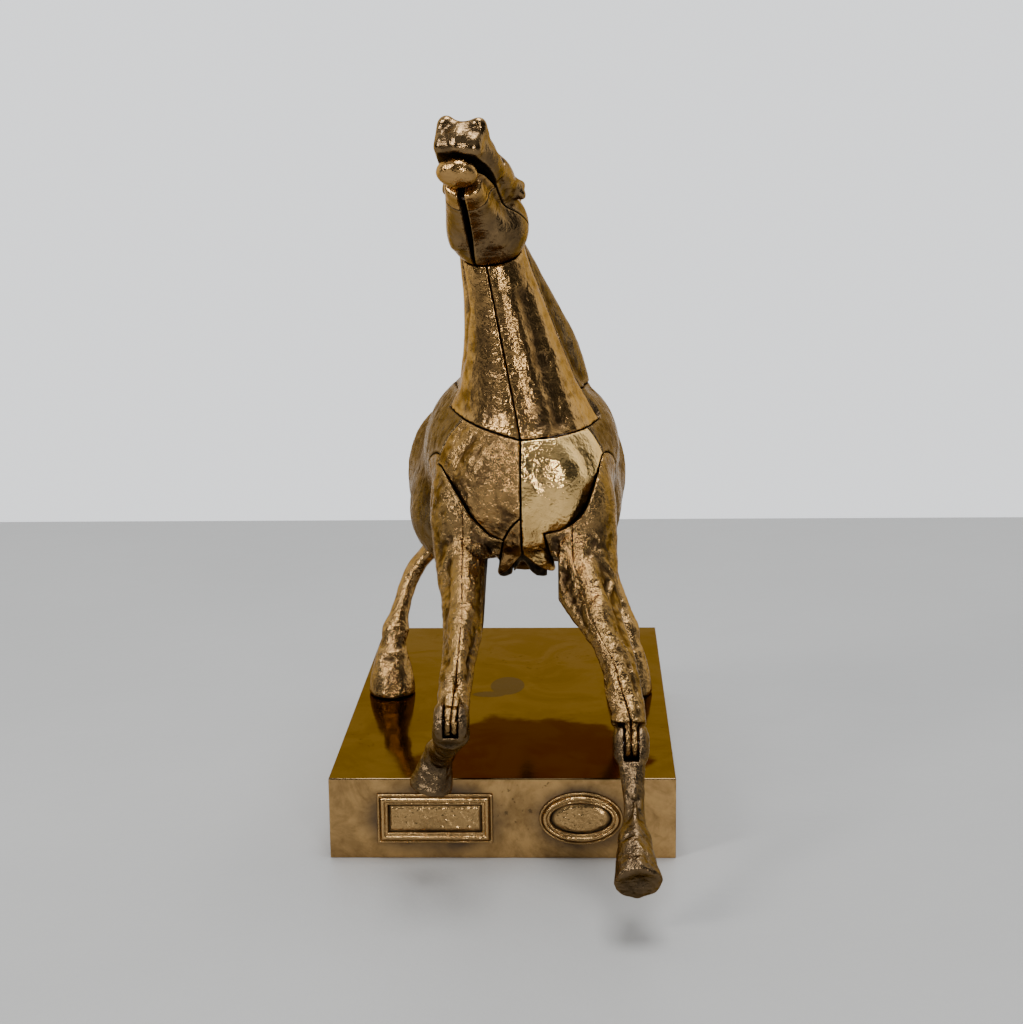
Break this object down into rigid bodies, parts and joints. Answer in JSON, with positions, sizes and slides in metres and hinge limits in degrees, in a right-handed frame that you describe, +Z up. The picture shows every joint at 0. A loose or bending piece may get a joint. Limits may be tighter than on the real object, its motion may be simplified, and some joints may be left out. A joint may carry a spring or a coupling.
{
  "type": "horse statuette",
  "caption": "Striding bronze horse on a rectangular plinth, cast as a take-apart set of fitted pieces with hinged knees and a turning head.",
  "frame": {"origin": "centre of the plinth's underside, on the surface it stands on", "axes": "+Z up, the horse faces -Y, its left side is +X"},
  "size_m": [0.2, 0.4639, 0.423],
  "materials": {
    "aged_bronze": "satin cast bronze, gold on the ridges and brown in the recesses",
    "polished_bronze": "polished cast bronze",
    "dark_bronze": "brown patinated bronze, rough cast",
    "plinth_bronze": "smooth brown patinated bronze, mirror satin on top",
    "frame_bronze": "cast bronze mouldings with a dark patina in the steps",
    "steel": "turned steel",
    "base_board": "dark board covered with felt"
  },
  "bodies": {
    "stand": {"plinth_shell": "plinth_bronze", "plinth_bottom_plate": "base_board", "plinth_screws": "steel", "plaque_frame_rectangular": "frame_bronze", "plaque_frame_oval": "frame_bronze", "plaque_rectangular": "frame_bronze", "plaque_oval": "frame_bronze", "hind_leg_left": "aged_bronze", "hind_leg_right": "aged_bronze", "hind_leg_studs": "steel", "hind_leg_nuts": "steel", "body_left": "aged_bronze", "body_right": "aged_bronze", "tail": "aged_bronze", "core": "aged_bronze", "tie_rods": "steel", "shoulder_axle": "steel", "neck_post": "steel", "chest_dowels": "steel", "neck_dowels": "steel", "neck_crest": "aged_bronze", "neck_front_left": "aged_bronze", "neck_front_right": "aged_bronze"},
    "chest_left": {"chest_plate_left": "polished_bronze"},
    "chest_right": {"chest_plate_right": "aged_bronze"},
    "sternum": {"sternum_wedge_right": "aged_bronze"},
    "head": {"skull": "aged_bronze", "jaw_left": "aged_bronze", "jaw_right": "aged_bronze", "chin": "aged_bronze", "jaw_dowels": "steel"},
    "foreleg_left": {"foreleg_left_inner": "aged_bronze", "foreleg_left_outer": "aged_bronze"},
    "foreleg_right": {"foreleg_right_inner": "aged_bronze", "foreleg_right_outer": "aged_bronze"},
    "shank_left": {"lower_leg_left": "dark_bronze", "knee_pin_left": "steel"},
    "shank_right": {"lower_leg_right": "dark_bronze", "knee_pin_right": "steel"}
  },
  "joints": [
    {"name": "head_turn", "type": "hinge", "parent": "stand", "child": "head", "pos_m": [-0.006, -0.116, 0.359], "axis": [-0.1316, -0.1535, 0.9794], "range_deg": [-15, 15]},
    {"name": "knee_left", "type": "hinge", "parent": "foreleg_left", "child": "shank_left", "pos_m": [0.073, -0.218, 0.084], "axis": [1, 0, 0], "range_deg": [-15, 15]},
    {"name": "knee_right", "type": "hinge", "parent": "foreleg_right", "child": "shank_right", "pos_m": [-0.023, -0.245, 0.105], "axis": [1, 0, 0], "range_deg": [-60, 10]},
    {"name": "foreleg_left_off", "type": "slide", "parent": "stand", "child": "foreleg_left", "axis": [1, 0, 0], "range_m": [0, 0.045]},
    {"name": "foreleg_right_off", "type": "slide", "parent": "stand", "child": "foreleg_right", "axis": [-1, 0, 0], "range_m": [0, 0.045]},
    {"name": "chest_left_off", "type": "slide", "parent": "stand", "child": "chest_left", "axis": [0, -1, 0], "range_m": [0, 0.05]},
    {"name": "chest_right_off", "type": "slide", "parent": "stand", "child": "chest_right", "axis": [0, -1, 0], "range_m": [0, 0.05]},
    {"name": "sternum_off", "type": "slide", "parent": "stand", "child": "sternum", "axis": [0, -1, 0], "range_m": [0, 0.05]}
  ]
}
